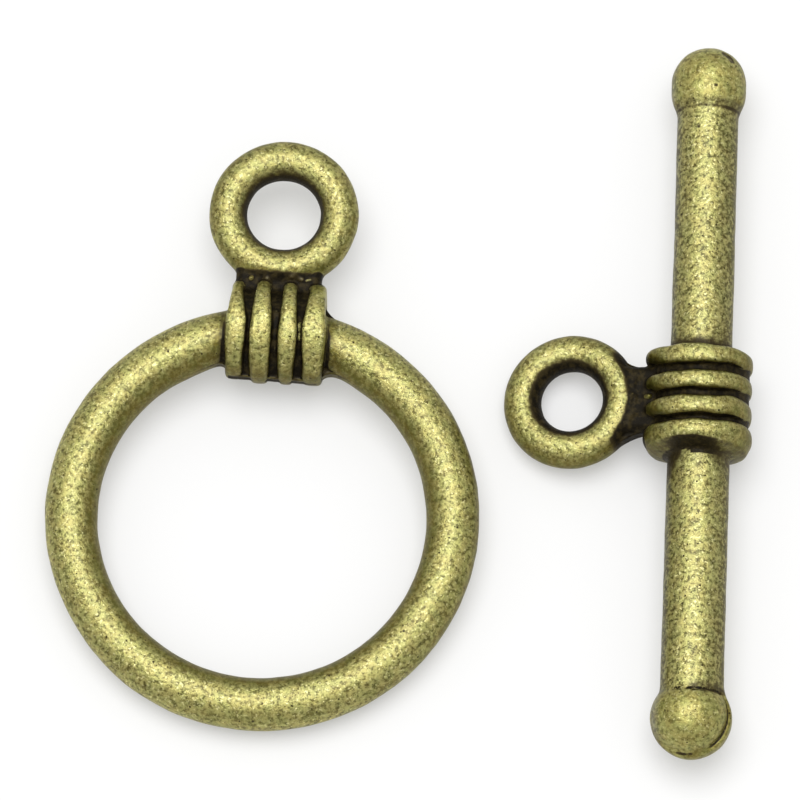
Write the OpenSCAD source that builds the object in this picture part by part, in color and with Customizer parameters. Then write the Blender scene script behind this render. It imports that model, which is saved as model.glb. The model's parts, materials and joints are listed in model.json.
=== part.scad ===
// Toggle clasp for a necklace or bracelet: a ring half and a bar half, lying side by side.
// Each half is one metal casting. The bar goes through the ring end first and turns crosswise.
// Millimetres, +Z up, with the surface that both halves rest on at Z = 0.

/* [Ring] */
// Outside diameter of the ring
ring_d = 16; // [13:0.5:30]
// Thickness of the ring's round wire
ring_wire_d = 1.95; // [1.5:0.05:3]

/* [Bar] */
// Length of the bar over both balls
bar_length = 27.5; // [24:0.5:45]
// Thickness of the bar
bar_d = 2.3; // [1.6:0.1:2.6]
// Diameter of the ball on each end of the bar
ball_d = 2.84; // [2.7:0.02:3.6]

/* [Collars] */
// Diameter of the ring's collar over its ribs
ring_collar_d = 3.8; // [3.6:0.1:5]
// Diameter of the bar's collar over its ribs
bar_collar_d = 4; // [3.8:0.1:5]
// Number of ribs on each collar
rib_count = 4; // [2:1:6]
// Width of one rib
rib_w = 0.72; // [0.5:0.02:1]
// Width of the groove between two ribs
groove_w = 0.26; // [0.2:0.02:0.5]
// Depth of the grooves
groove_depth = 0.4; // [0.25:0.05:0.5]
// Radius of each rib's rounded crown
rib_crown_r = 0.52; // [0.52:0.02:0.8]
// How far the ring's collar sits out from the middle of the ring's wire
ring_collar_out = 0.1; // [0:0.05:0.5]
// How far the bar's collar sits from the bar's middle towards the near ball
bar_collar_near = 0.3; // [0:0.05:1]

/* [Eyes] */
// Thickness of the round wire of both eyes
eye_wire_d = 1.42; // [1.2:0.01:2]
// Diameter of the hole through the ring half's eye
ring_eye_hole_d = 2.74; // [1.6:0.02:4]
// Diameter of the hole through the bar half's eye
bar_eye_hole_d = 2.34; // [1.6:0.02:4]
// Length of the straight wall in the middle of each hole
eye_land = 0.4; // [0.3:0.05:0.8]
// How deep the ring half's eye sinks into its collar
ring_eye_sink = 0.1; // [0.04:0.02:0.4]
// Space between the bar half's eye and its collar, which the neck fills
bar_eye_space = 0.28; // [0:0.02:1]

/* [Necks and webs] */
// Width of the neck between the ring's collar and its eye
ring_neck_w = 3.2; // [1.6:0.1:3.4]
// Width of the neck between the bar's collar and its eye
bar_neck_w = 2.5; // [1.6:0.1:3]
// Thickness of both necks
neck_t = 1.1; // [0.8:0.05:1.1]
// Thickness of the thin webs that the mould's joint leaves in corners and grooves
web_t = 0.5; // [0.3:0.05:0.7]
// How far below the ribs the webs in the grooves end
web_step = 0.1; // [0.05:0.01:0.2]
// Size of the corner webs between the ring and its collar
corner_web = 0.5; // [0.2:0.05:0.8]

/* [Lay] */
// Space across between the ring and the bar half's eye
halves_space = 0.75; // [0.5:0.05:6]
// How far the ring's centre lies nearer than the bar's middle
ring_near = 5.15; // [0:0.05:8]
// How far the ring half is turned clockwise, in degrees
ring_turn = 1.5; // [-20:0.5:20]

/* [Hidden] */
$fn = 96;
bronze = [0.62, 0.56, 0.29];

// Collars, whose length follows their ribs
rib_pitch = rib_w + groove_w;
collar_l = rib_count * rib_pitch - groove_w;
collar_core_l = collar_l - rib_w;

// Ring half, with the ring's centre at the origin and its eye towards +Y
ring_wire_r = ring_wire_d / 2;
ring_r = ring_d / 2 - ring_wire_r;
ring_collar_r = ring_collar_d / 2;
ring_collar_y = ring_r + ring_collar_out;
eye_wire_r = eye_wire_d / 2;
eye_wall_in = sqrt(eye_wire_r^2 - (eye_land / 2)^2);
ring_eye_r = ring_eye_hole_d / 2 + eye_wall_in;
ring_eye_y = ring_collar_y + ring_collar_r - ring_eye_sink + ring_eye_r + eye_wire_r;

// Bar half, with the bar's middle at the origin and its eye towards -X
bar_collar_r = bar_collar_d / 2;
ball_r = ball_d / 2;
bar_eye_r = bar_eye_hole_d / 2 + eye_wall_in;
bar_eye_x = bar_collar_r + bar_eye_space + bar_eye_r + eye_wire_r;
ball_y = bar_length / 2 - ball_r;

// How each half rests: the ring half on its collar and the far side of its ring,
// the bar half on its collar and the rim of its eye
ring_tilt = asin((ring_collar_r - ring_wire_r) / (ring_collar_y + ring_r));
ring_z = ring_wire_r + ring_r * sin(ring_tilt);
bar_roll = asin((bar_collar_r - eye_wire_r) / (bar_eye_x + bar_eye_r));

// Reach of a tilted round ring along one axis, where n is that axis's share of its normal
function reach(r, wire_r, n) = r * sqrt(1 - n^2) + wire_r;

// Places in plan, with the origin under the middle of both halves together
ring_nx = sin(ring_tilt) * sin(ring_turn);
ring_ny = sin(ring_tilt) * cos(ring_turn);
ring_reach_x = reach(ring_r, ring_wire_r, ring_nx);
ring_reach_y = reach(ring_r, ring_wire_r, ring_ny);
ring_eye_far_y = ring_eye_y * cos(ring_tilt) * cos(ring_turn) + reach(ring_eye_r, eye_wire_r, ring_ny);
bar_eye_reach_x = bar_eye_x * cos(bar_roll) + reach(bar_eye_r, eye_wire_r, sin(bar_roll));
whole_w = 2 * ring_reach_x + halves_space + bar_eye_reach_x + bar_collar_r;
ring_x = ring_reach_x - whole_w / 2;
bar_x = whole_w / 2 - bar_collar_r;
near_y = min(-bar_length / 2, -ring_near - ring_reach_y);
far_y = max(bar_length / 2, ring_eye_far_y - ring_near);
bar_y = -(near_y + far_y) / 2;
ring_y = bar_y - ring_near;

// A ribbed collar along X: a core, its rounded ribs, and webs that fill the grooves along Y
module collar(r) {
    rotate([0, 90, 0]) {
        cylinder(h = collar_core_l, r = r - groove_depth, center = true);
        for (i = [0 : rib_count - 1])
            translate([0, 0, (i - (rib_count - 1) / 2) * rib_pitch])
                rotate_extrude() rib_section(r);
    }
    cube([collar_core_l, 2 * (r - web_step), web_t], center = true);
}

// One rib's half section, out from the collar's axis to a rounded crown
module rib_section(r) {
    foot = r - rib_crown_r;
    translate([0, -rib_w / 2]) square([foot, rib_w]);
    intersection() {
        translate([foot, 0]) circle(r = rib_crown_r);
        translate([0, -rib_w / 2]) square([r, rib_w]);
    }
}

// A round eye lying flat at the origin, with a straight wall in the middle of its hole
module eye(hole_d, r) {
    difference() {
        rotate_extrude() translate([r, 0]) circle(r = eye_wire_r);
        cylinder(h = eye_wire_d, d = hole_d, center = true);
    }
}

// A flat neck of width w with round edges along +Y, from y0 to y1
module neck(w, y0, y1) {
    side = (w - neck_t) / 2;
    translate([0, y1, 0]) rotate([90, 0, 0]) {
        for (x = [-side, side])
            translate([x, 0, 0]) cylinder(h = y1 - y0, d = neck_t);
        translate([-side, -neck_t / 2, 0]) cube([2 * side, neck_t, y1 - y0]);
    }
}

// A thin web in the corner between the ring's outside and the +X end of its collar
module corner_web() {
    x0 = collar_l / 2;
    y0 = sqrt((ring_d / 2)^2 - x0^2);
    x1 = x0 + corner_web;
    y1 = sqrt((ring_d / 2)^2 - x1^2);
    linear_extrude(height = web_t, center = true)
        polygon([
            [x0 - rib_w / 2, ring_collar_y],
            [x0 - rib_w / 2, y0 + corner_web],
            [x0, y0 + corner_web],
            [x1, y1],
            [x1, y1 - ring_wire_r],
            [x0, ring_collar_y]
        ]);
}

module toggle_ring() {
    color(bronze)
        translate([ring_x, ring_y, ring_z]) rotate([0, 0, -ring_turn]) rotate([ring_tilt, 0, 0]) {
            rotate_extrude() translate([ring_r, 0]) circle(r = ring_wire_r);
            translate([0, ring_collar_y, 0]) collar(ring_collar_r);
            translate([0, ring_eye_y, 0]) eye(ring_eye_hole_d, ring_eye_r);
            neck(ring_neck_w, ring_collar_y, ring_eye_y - ring_eye_r);
            corner_web();
            mirror([1, 0, 0]) corner_web();
        }
}

module toggle_bar() {
    color(bronze)
        translate([bar_x, bar_y, bar_collar_r]) rotate([0, -bar_roll, 0]) {
            rotate([90, 0, 0]) cylinder(h = 2 * ball_y, d = bar_d, center = true);
            for (y = [-ball_y, ball_y])
                translate([0, y, 0]) sphere(r = ball_r);
            translate([0, -bar_collar_near, 0]) rotate([0, 0, 90]) collar(bar_collar_r);
            translate([-bar_eye_x, 0, 0]) eye(bar_eye_hole_d, bar_eye_r);
            rotate([0, 0, 90]) neck(bar_neck_w, 0, bar_eye_x - bar_eye_r);
        }
}

toggle_ring();
toggle_bar();
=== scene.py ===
"""Toggle clasp in rubbed antique bronze: a ring half and a bar half, lying side by side on a pale floor.

Each half is one casting. Its form is written as a signed distance in millimetres, in the half's own frame,
meshed on a grid, drawn onto the exact surface, and put where the frame's eye mounts say.
"""
import json
from math import acos, atan2, cos, radians, sin

import bpy
import numpy as np
from mathutils import Matrix, Vector


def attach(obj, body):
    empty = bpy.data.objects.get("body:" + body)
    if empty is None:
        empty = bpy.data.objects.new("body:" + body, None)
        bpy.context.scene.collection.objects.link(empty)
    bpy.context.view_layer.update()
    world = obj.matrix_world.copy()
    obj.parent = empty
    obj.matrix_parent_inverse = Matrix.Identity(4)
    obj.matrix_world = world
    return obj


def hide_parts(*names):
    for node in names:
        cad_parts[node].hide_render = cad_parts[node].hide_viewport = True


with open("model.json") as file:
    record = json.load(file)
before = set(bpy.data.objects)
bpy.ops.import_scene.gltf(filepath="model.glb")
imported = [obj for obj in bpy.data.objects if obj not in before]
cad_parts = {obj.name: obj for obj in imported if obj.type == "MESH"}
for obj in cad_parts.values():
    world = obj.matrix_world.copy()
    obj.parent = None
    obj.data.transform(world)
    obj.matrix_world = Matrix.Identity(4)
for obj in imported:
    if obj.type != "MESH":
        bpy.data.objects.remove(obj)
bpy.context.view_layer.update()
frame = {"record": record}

MM = 0.001

# Main sizes of both halves, in millimetres
RING_R = 7.025
RING_WIRE_R = 0.975
RING_COLLAR_R = 1.9
RING_COLLAR_Y = 7.125
RING_EYE_Y = 11.68625
EYE_WIRE_R = 0.71
BAR_R = 1.15
BAR_COLLAR_R = 2.0
BAR_COLLAR_Y = -0.3
BAR_EYE_X = 4.84125
NECK_HALF_T = 0.55
RING_NECK_HALF_T = 0.47
GROOVE_DEPTH = 0.42
COLLAR_HALF_L = 1.6
FLASH_HALF_T = 0.28

# Radii of the rounded edges of ribs, necks and webs
RIB_EDGE = 0.15
NECK_EDGE = 0.3
FLASH_EDGE = 0.05

# Widths of the fillets between parts
RIB_FILLET = 0.06
COLLAR_FILLET = 0.1
NECK_FILLET = 0.12
EYE_FILLET = 0.15
BIT_FILLET = 0.08
LUMP_FILLET = 0.1

# Grid steps for the meshes, fine round the collars and balls, coarse elsewhere
FINE_STEP = 0.057
COARSE_STEP = 0.112


# Distance helpers

def smoothstep(low, high, value):
    """0 at low, 1 at high, and an even curve between them."""
    t = np.clip((value - low) / (high - low), 0, 1)
    return t * t * (3 - 2 * t)


def fade(value, reach):
    """1 where value is 0, falling smoothly to about a third at reach to either side."""
    return np.exp(-(value / reach) ** 2)


def smooth_union(a, b, fillet):
    """What lies inside either distance, with a fillet about this wide where they meet."""
    near = np.maximum(fillet - np.abs(a - b), 0.0) / fillet
    return np.minimum(a, b) - near * near * fillet / 4


def rounded(a, b, edge=0.0):
    """What lies inside both distances, with the edge between them rounded."""
    qa, qb = a + edge, b + edge
    return np.hypot(np.maximum(qa, 0), np.maximum(qb, 0)) + np.minimum(np.maximum(qa, qb), 0) - edge


def box_2d(a, b, half_a, half_b, edge=0.0):
    """An upright block round the origin, with its edges rounded."""
    return rounded(np.abs(a) - half_a, np.abs(b) - half_b, edge)


def rib(along, side, up, low, high, radius, dome):
    """A round rib across a collar's axis, between its low and high edges, domed across its crown."""
    middle, half = (low + high) / 2, (high - low) / 2
    crown = radius - dome * ((along - middle) / half) ** 2
    return rounded(np.abs(along - middle) - half, np.hypot(side, up) - crown, RIB_EDGE)


def collar_core(side, up, along, radius, notch, reach):
    """A collar's core under its ribs. Near the parting plane its grooves get shallower, down to notch."""
    floor_r = radius - GROOVE_DEPTH + (GROOVE_DEPTH - notch) * fade(up, reach)
    return np.maximum(np.hypot(side, up) - floor_r, np.abs(along) - COLLAR_HALF_L)


def waver(along, phase):
    """A hand-cut edge's small wander, about 1 at most."""
    return (np.sin(3.1 * along + phase) + 0.6 * np.sin(7.3 * along + 2.3 * phase)) / 1.6


def capsule(x, y, z, start, end, radius):
    """A short round-ended bead from start to end."""
    step = [b - a for a, b in zip(start, end)]
    length = sum(c * c for c in step) or 1.0
    share = sum((p - a) * c for p, a, c in zip((x, y, z), start, step)) / length
    share = np.clip(share, 0, 1)
    near = [p - a - share * c for p, a, c in zip((x, y, z), start, step)]
    return np.sqrt(sum(c * c for c in near)) - radius


def nearest(x, y, z, capsules):
    """Several capsules in one: each is its start, end and radius."""
    return np.minimum.reduce([capsule(x, y, z, *each) for each in capsules])


def ball(x, y, z, centre, radius):
    return np.sqrt((x - centre[0]) ** 2 + (y - centre[1]) ** 2 + (z - centre[2]) ** 2) - radius


def swell(angle, bumps):
    """Sum of smooth bumps round a circle. Each bump is its angle and half-width in degrees and its height."""
    total = 0.0
    for at, half_w, height in bumps:
        away = (angle - radians(at) + np.pi) % (2 * np.pi) - np.pi
        total = total + height * fade(away, radians(half_w))
    return total


def eye(x, y, z, outer_r, hole):
    """A round eye lying flat, whose hole has its own centre and half-sizes."""
    hole_x, hole_y, half_x, half_y = hole
    rho, angle = np.hypot(x, y), np.arctan2(y, x)
    c, s = np.cos(angle), np.sin(angle)
    inner = half_x * half_y / np.hypot(half_y * c, half_x * s) + hole_x * c + hole_y * s
    return np.hypot(rho - (outer_r + inner) / 2, z) - (outer_r - inner) / 2


# Ring half, with the ring's centre at the origin and its eye towards +Y

# The ring's own centre, and the swells and hollows of its outside and inside, which aren't quite round
RING_CENTRE = (0.01, 0.055)
RING_OUTER_SWELLS = ((30, 28, 0.045), (168, 28, 0.045), (212, 12, -0.035))
RING_INNER_SWELLS = ((185, 38, 0.045), (58, 12, -0.045), (120, 10, -0.05))
# Ribs of the collar: low and high edge along it, how much each edge draws in away from the middle, and radius
RING_RIBS = (
    (-1.80, -1.00, 0.12, 0.28, 1.83),
    (-0.92, -0.07, 0.17, 0.19, 1.93),
    (0.14, 0.87, 0.12, 0.18, 1.91),
    (1.02, 1.91, 0.20, 0.12, 1.89))
# Where across the collar the ribs are widest, how soon they narrow, how much less so on the ring's inner
# side, how much their edges wander, and how much their crowns are domed
RING_RIB_WIDEST = -0.3
RING_RIB_TAPER = 1.1
RING_RIB_INNER_DRAW = 0.5
RING_RIB_WANDER = 0.02
RING_RIB_DOME = 0.05
# How shallow the grooves get at the parting plane, and how near it
RING_NOTCH = 0.05
NOTCH_REACH = 0.4
# The neck: its middle along the half, half its width and half its length
RING_NECK_Y = 9.3
RING_NECK_HALF_W = 1.6
RING_NECK_HALF_L = 0.9
# The eye: its radius, and its hole's centre and half-sizes
RING_EYE_R = 2.79
RING_EYE_HOLE = (0.0, -0.03, 1.37, 1.36)
# The webs: half their length along the collar, the rounding of their corners there, how far they stay under
# the ribs' crowns and the ring's outside, their fillets left and right of the collar, and where they end
RING_WEB_HALF_L = 1.7
RING_WEB_CORNER = 0.2
RING_WEB_UNDER_RIBS = 0.08
RING_WEB_UNDER_TUBE = 0.05
RING_WEB_LEFT = 0.45
RING_WEB_RIGHT = 0.95
RING_WEB_FROM_Y = 5.0
# Neck and eye lie past this
RING_NECK_FROM_Y = 8.9


def ring_tube(x, y, z):
    cx, cy = x - RING_CENTRE[0], y - RING_CENTRE[1]
    angle = np.arctan2(cy, cx)
    outer = RING_R + RING_WIRE_R + swell(angle, RING_OUTER_SWELLS)
    inner = RING_R - RING_WIRE_R + swell(angle, RING_INNER_SWELLS)
    return np.hypot(np.hypot(cx, cy) - (outer + inner) / 2, z) - (outer - inner) / 2


def ring_collar_core(x, y, z):
    return collar_core(y - RING_COLLAR_Y, z, x, RING_COLLAR_R, RING_NOTCH, NOTCH_REACH)


def ring_ribs(x, y, z):
    side = y - RING_COLLAR_Y
    share = np.where(side < RING_RIB_WIDEST, RING_RIB_INNER_DRAW, 1)
    draw = (1 - fade(side - RING_RIB_WIDEST, RING_RIB_TAPER)) * share
    ribs = []
    for low, high, draw_low, draw_high, radius in RING_RIBS:
        low_edge = low + draw_low * draw + RING_RIB_WANDER * waver(side, 5 * low)
        high_edge = high - draw_high * draw + RING_RIB_WANDER * waver(side, 5 * high)
        ribs.append(rib(x, side, z, low_edge, high_edge, radius, RING_RIB_DOME))
    return np.minimum.reduce(ribs)


# Bright bits of metal that the mould left in the neck and a groove: start, end and radius of each
RING_BITS = (
    ((-1.04, 9.04, 0.47), (-1.01, 9.06, 0.48), 0.065),
    ((1.02, 9.07, 0.46), (1.18, 9.12, 0.45), 0.035),
    ((0.94, 7.12, 1.51), (0.96, 6.92, 1.49), 0.065),
    ((0.95, 6.72, 1.46), (0.96, 6.60, 1.43), 0.05))
# Dull lumps there, in the same way
RING_LUMPS = (
    ((0.46, 9.20, 0.46), (0.58, 9.30, 0.46), 0.13),
    ((0.70, 9.18, 0.44), (0.84, 9.12, 0.44), 0.09),
    ((-0.45, 8.95, 0.40), (-0.40, 9.25, 0.38), 0.16),
    ((0.03, 7.5, 1.38), (0.05, 6.3, 1.17), 0.12))


def ring_bits(x, y, z):
    return nearest(x, y, z, RING_BITS)


def ring_lumps(x, y, z):
    return nearest(x, y, z, RING_LUMPS)


def ring_flash(x, y, z):
    """Thin webs that the mould's joint left in the grooves and corners, in the ring's plane."""
    reach = RING_COLLAR_R - RING_WEB_UNDER_RIBS
    collar = box_2d(x, y - RING_COLLAR_Y, RING_WEB_HALF_L, reach, RING_WEB_CORNER)
    tube = np.abs(np.hypot(x, y) - RING_R) - RING_WIRE_R + RING_WEB_UNDER_TUBE
    outline = smooth_union(collar, tube, np.where(x > 0, RING_WEB_RIGHT, RING_WEB_LEFT))
    web = rounded(outline, np.abs(z) - FLASH_HALF_T, FLASH_EDGE)
    return np.maximum(web, RING_WEB_FROM_Y - y)


def ring_neck(x, y, z):
    outline = box_2d(x, y - RING_NECK_Y, RING_NECK_HALF_W, RING_NECK_HALF_L)
    return rounded(outline, np.abs(z) - RING_NECK_HALF_T, NECK_EDGE)


def ring_eye(x, y, z):
    return eye(x, y - RING_EYE_Y, z, RING_EYE_R, RING_EYE_HOLE)


def ring_half(x, y, z):
    collar = smooth_union(ring_ribs(x, y, z), ring_collar_core(x, y, z), RIB_FILLET)
    metal = smooth_union(ring_tube(x, y, z), collar, COLLAR_FILLET)
    metal = smooth_union(metal, ring_neck(x, y, z), NECK_FILLET)
    metal = smooth_union(metal, ring_eye(x, y, z), EYE_FILLET)
    metal = smooth_union(metal, ring_bits(x, y, z), BIT_FILLET)
    metal = smooth_union(metal, ring_lumps(x, y, z), LUMP_FILLET)
    return np.minimum(metal, ring_flash(x, y, z))


# Bar half, with the bar's middle at the origin and its eye towards -X

# Half the length of the rod between the balls' middles, and how much thicker it gets towards the near one
ROD_HALF_L = 12.6
ROD_GAIN = 0.012
ROD_GAIN_LENGTH = 4
# The far ball, drawn out towards the rod, with its fillet there
FAR_BALL_START = (0, 12.02, 0)
FAR_BALL_END = (0, 12.33, 0)
FAR_BALL_R = 1.4
FAR_BALL_FILLET = 0.18
# The near ball's upper and lower halves, which don't quite meet: centre and radius, the height that each ends
# at, the lower one's rounded edge, and their fillets
NEAR_TOP = (-0.04, -12.24, 0)
NEAR_TOP_R = 1.42
NEAR_TOP_FROM_Z = -0.03
NEAR_TOP_FILLET = 0.05
NEAR_BOTTOM = (0.05, -12.32, 0)
NEAR_BOTTOM_R = 1.46
NEAR_BOTTOM_TO_Z = 0.2
NEAR_BOTTOM_EDGE = 0.1
NEAR_BOTTOM_FILLET = 0.3
# The step between the two: the point that it goes round, the angles in degrees that it grows and fades
# between, and how much it sharpens their fillet
LEDGE_Y = -12.3
LEDGE_START = (-75, -50)
LEDGE_END = (20, 40)
LEDGE_SHARPENS = 0.28


def bar_rod(x, y, z):
    radius = BAR_R + ROD_GAIN * np.tanh(-y / ROD_GAIN_LENGTH)
    return np.maximum(np.hypot(x, z) - radius, np.abs(y) - ROD_HALF_L)


def far_ball(x, y, z):
    return capsule(x, y, z, FAR_BALL_START, FAR_BALL_END, FAR_BALL_R)


def near_ball_top(x, y, z):
    return ball(x, y, z, NEAR_TOP, NEAR_TOP_R)


def near_ball_bottom(x, y, z):
    """The lower half of the near ball, which sits a little too far right and near under the upper one."""
    return rounded(ball(x, y, z, NEAR_BOTTOM, NEAR_BOTTOM_R), z - NEAR_BOTTOM_TO_Z, NEAR_BOTTOM_EDGE)


def ledge_share(x, y):
    """1 where the near ball's two halves show a step, on its right, and 0 where they run together."""
    angle = np.degrees(np.arctan2(y - LEDGE_Y, x))
    return smoothstep(*LEDGE_START, angle) * (1 - smoothstep(*LEDGE_END, angle))


# Crease where the rod meets the near ball: place along the bar, how far it leans, depth and half-width, where
# it starts and where it is fully deep, its share of that depth at the start, and the height that it ends at
CREASE_Y = -11.43
CREASE_LEAN = -0.03
CREASE_DEPTH = 0.035
CREASE_HALF_W = 0.06
CREASE_FROM_X = -0.5
CREASE_DEEP_X = 0.4
CREASE_SHALLOW = 0.2
CREASE_FROM_Z = 0.3
# Dents: start, end and radius of what was pressed in
BAR_DENTS = (
    ((0.50, 11.86, 1.37), (0.53, 11.87, 1.37), 0.08),
    ((0.844, 13.482, 0.847), (1.157, 13.141, 0.908), 0.3),
    ((-0.14, 10.30, 1.15), (-0.18, 10.31, 1.145), 0.05),
    ((-0.04, 9.19, 1.165), (-0.03, 9.20, 1.165), 0.04),
    ((-0.45, -13.67, 0.28), (-0.14, -13.71, 0.28), 0.045),
    ((0.0, -13.71, 0.28), (0.1, -13.71, 0.28), 0.035))


def from_crease(x, y):
    """How far along the bar each point is from the crease's line."""
    return y - CREASE_Y - CREASE_LEAN * x


def bar_crease(x, y, z):
    across = from_crease(x, y) / CREASE_HALF_W
    share = CREASE_SHALLOW + (1 - CREASE_SHALLOW) * smoothstep(CREASE_FROM_X, CREASE_DEEP_X, x)
    depth = CREASE_DEPTH * share
    down = (np.hypot(x, z) - BAR_R - 0.01) / depth
    groove = (np.hypot(across, down) - 1) * CREASE_HALF_W
    return np.maximum(np.maximum(groove, CREASE_FROM_Z - z), CREASE_FROM_X - x)


def bar_dents(x, y, z):
    return nearest(x, y, z, BAR_DENTS)


# Ribs of the collar, from far to near: low and high edge along it, how far each edge swings out beside the
# neck, and radius
BAR_RIBS = (
    (1.15, 1.88, 0.36, 0.10, 2.0),
    (0.17, 0.87, 0.30, 0.05, 1.98),
    (-0.84, -0.09, 0.32, 0.04, 1.99),
    (-1.74, -1.05, 0.04, 0.04, 2.03))
BAR_COLLAR_X = -0.06
BAR_RIB_WANDER = 0.025
BAR_RIB_DOME = 0.09
# How far left of the collar's middle its ribs start to swing out, over which width they do, how far their
# edges rise on its right and where there, and past which distance along it they don't
SWING_FROM = 0.6
SWING_WIDTH = 1.05
RIGHT_RISE = 0.09
RIGHT_RISES = (0.8, 1.5)
OUTER_EDGE = 1.5
# How shallow the grooves get at the parting plane, and how near it on the right
BAR_NOTCH = 0.11
RIGHT_NOTCH_REACH = 0.8
# The collar's near end: where its crown ends on top, how much further out at the sides and on the right, over
# which stretch the latter grows, its slope inwards and what that makes of its distances, how much rounder its
# edge is at the sides, the crown's radius, and where the crown begins
FACE_ALONG = -1.67
FACE_OUT = 0.12
FACE_RIGHT = 0.06
FACE_RIGHT_GROWS = (0.1, 0.8)
FACE_SLOPE = 0.34
FACE_FACTOR = 0.94
SIDE_EDGE_GAIN = 0.25
NEAR_CROWN_R = 1.97
NEAR_CROWN_FROM = -1.2


def bar_collar_core(x, y, z):
    reach = np.where(x > 0, RIGHT_NOTCH_REACH, NOTCH_REACH)
    return collar_core(x - BAR_COLLAR_X, z, y - BAR_COLLAR_Y, BAR_COLLAR_R, BAR_NOTCH, reach)


def bar_near_face(side, along, up):
    """The collar's near end, a shallow cone round the rod."""
    depth = np.maximum(np.hypot(side, up), 0.01)
    out = FACE_OUT * (side / depth) ** 2 + FACE_RIGHT * smoothstep(*FACE_RIGHT_GROWS, side)
    end = FACE_ALONG - out + FACE_SLOPE * (depth - BAR_COLLAR_R)
    return (end - along) * FACE_FACTOR


def near_edge(side):
    """How round the near end's edge is: more at the sides than on top."""
    return RIB_EDGE + SIDE_EDGE_GAIN * np.minimum(np.abs(side) / BAR_COLLAR_R, 1) ** 4


def bar_near_end(x, y, z):
    side, along = x - BAR_COLLAR_X, y - BAR_COLLAR_Y
    crown = np.maximum(np.hypot(side, z) - NEAR_CROWN_R, along - NEAR_CROWN_FROM)
    return rounded(crown, bar_near_face(side, along, z), near_edge(side))


def bar_ribs(x, y, z):
    left, along = BAR_COLLAR_X - x, y - BAR_COLLAR_Y
    swing = np.clip((left - SWING_FROM) / SWING_WIDTH, 0, 1) ** 2
    rise = RIGHT_RISE * smoothstep(*RIGHT_RISES, -left)
    ribs = []
    for low, high, swing_low, swing_high, radius in BAR_RIBS:
        low_edge = low + swing_low * swing + rise * (low > -OUTER_EDGE)
        low_edge = low_edge + BAR_RIB_WANDER * waver(left, 4 * low)
        high_edge = high + swing_high * swing + rise * (high < OUTER_EDGE)
        high_edge = high_edge + BAR_RIB_WANDER * waver(left, 4 * high)
        ribs.append(rib(along, left, z, low_edge, high_edge, radius, BAR_RIB_DOME))
    ribs[-1] = rounded(ribs[-1], bar_near_face(-left, along, z), near_edge(left))
    return np.minimum.reduce(ribs)


# The neck: its middle, half its length and half its width
BAR_NECK_X = -2.2
BAR_NECK_Y = -0.09
BAR_NECK_HALF_L = 1.2
BAR_NECK_HALF_W = 1.26
# The eye: how far right and near of its mount its middle is, its radius, and its hole's centre and half-sizes
BAR_EYE_RIGHT = 0.02
BAR_EYE_Y = -0.05
BAR_EYE_R = 2.555
BAR_EYE_HOLE = (0.0, 0.02, 1.17, 1.18)
# The web: its outside and inside round the eye, half its length along the collar, how far it stays under the
# ribs' crowns, and its fillets in the neck's far and near corners and at the collar
BAR_WEB_R = 2.44
BAR_WEB_HOLE_R = 1.5
BAR_WEB_HALF_L = 1.5
BAR_WEB_UNDER_RIBS = 0.15
BAR_WEB_FAR = 0.6
BAR_WEB_NEAR = 0.9
BAR_WEB_COLLAR = 0.3
# Bright bits of metal in the neck: start, end and radius of each
BAR_BITS = (
    ((-1.95, -0.07, 0.5), (-1.80, -0.06, 0.60), 0.075),
    ((-2.50, 0.02, 0.53), (-2.44, 0.04, 0.53), 0.04))
# Dull lumps there, in the same way
BAR_LUMPS = (
    ((-2.42, -0.40, 0.46), (-2.38, -0.10, 0.48), 0.14),
    ((-2.30, 0.35, 0.46), (-2.22, 0.55, 0.46), 0.11),
    ((-2.45, -0.95, 0.45), (-2.30, -0.85, 0.46), 0.12))


def bar_bits(x, y, z):
    return nearest(x, y, z, BAR_BITS)


def bar_lumps(x, y, z):
    return nearest(x, y, z, BAR_LUMPS)


def bar_neck_outline(x, y):
    return box_2d(x - BAR_NECK_X, y - BAR_NECK_Y, BAR_NECK_HALF_L, BAR_NECK_HALF_W)


def bar_flash(x, y, z):
    """A thin web that the mould's joint left round the eye, in the neck's corners and in the grooves."""
    reach = BAR_COLLAR_R - BAR_WEB_UNDER_RIBS
    collar = box_2d(x - BAR_COLLAR_X, y - BAR_COLLAR_Y, reach, BAR_WEB_HALF_L)
    disc = np.hypot(x + BAR_EYE_X, y - BAR_EYE_Y) - BAR_WEB_R
    corner = np.where(y > 0, BAR_WEB_FAR, BAR_WEB_NEAR)
    outline = smooth_union(smooth_union(disc, bar_neck_outline(x, y), corner), collar, BAR_WEB_COLLAR)
    web = rounded(outline, np.abs(z) - FLASH_HALF_T, FLASH_EDGE)
    return np.maximum(web, BAR_WEB_HOLE_R - np.hypot(x + BAR_EYE_X, y))


def bar_neck(x, y, z):
    return rounded(bar_neck_outline(x, y), np.abs(z) - NECK_HALF_T, NECK_EDGE)


def bar_eye(x, y, z):
    return eye(x + BAR_EYE_X - BAR_EYE_RIGHT, y - BAR_EYE_Y, z, BAR_EYE_R, BAR_EYE_HOLE)


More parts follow.
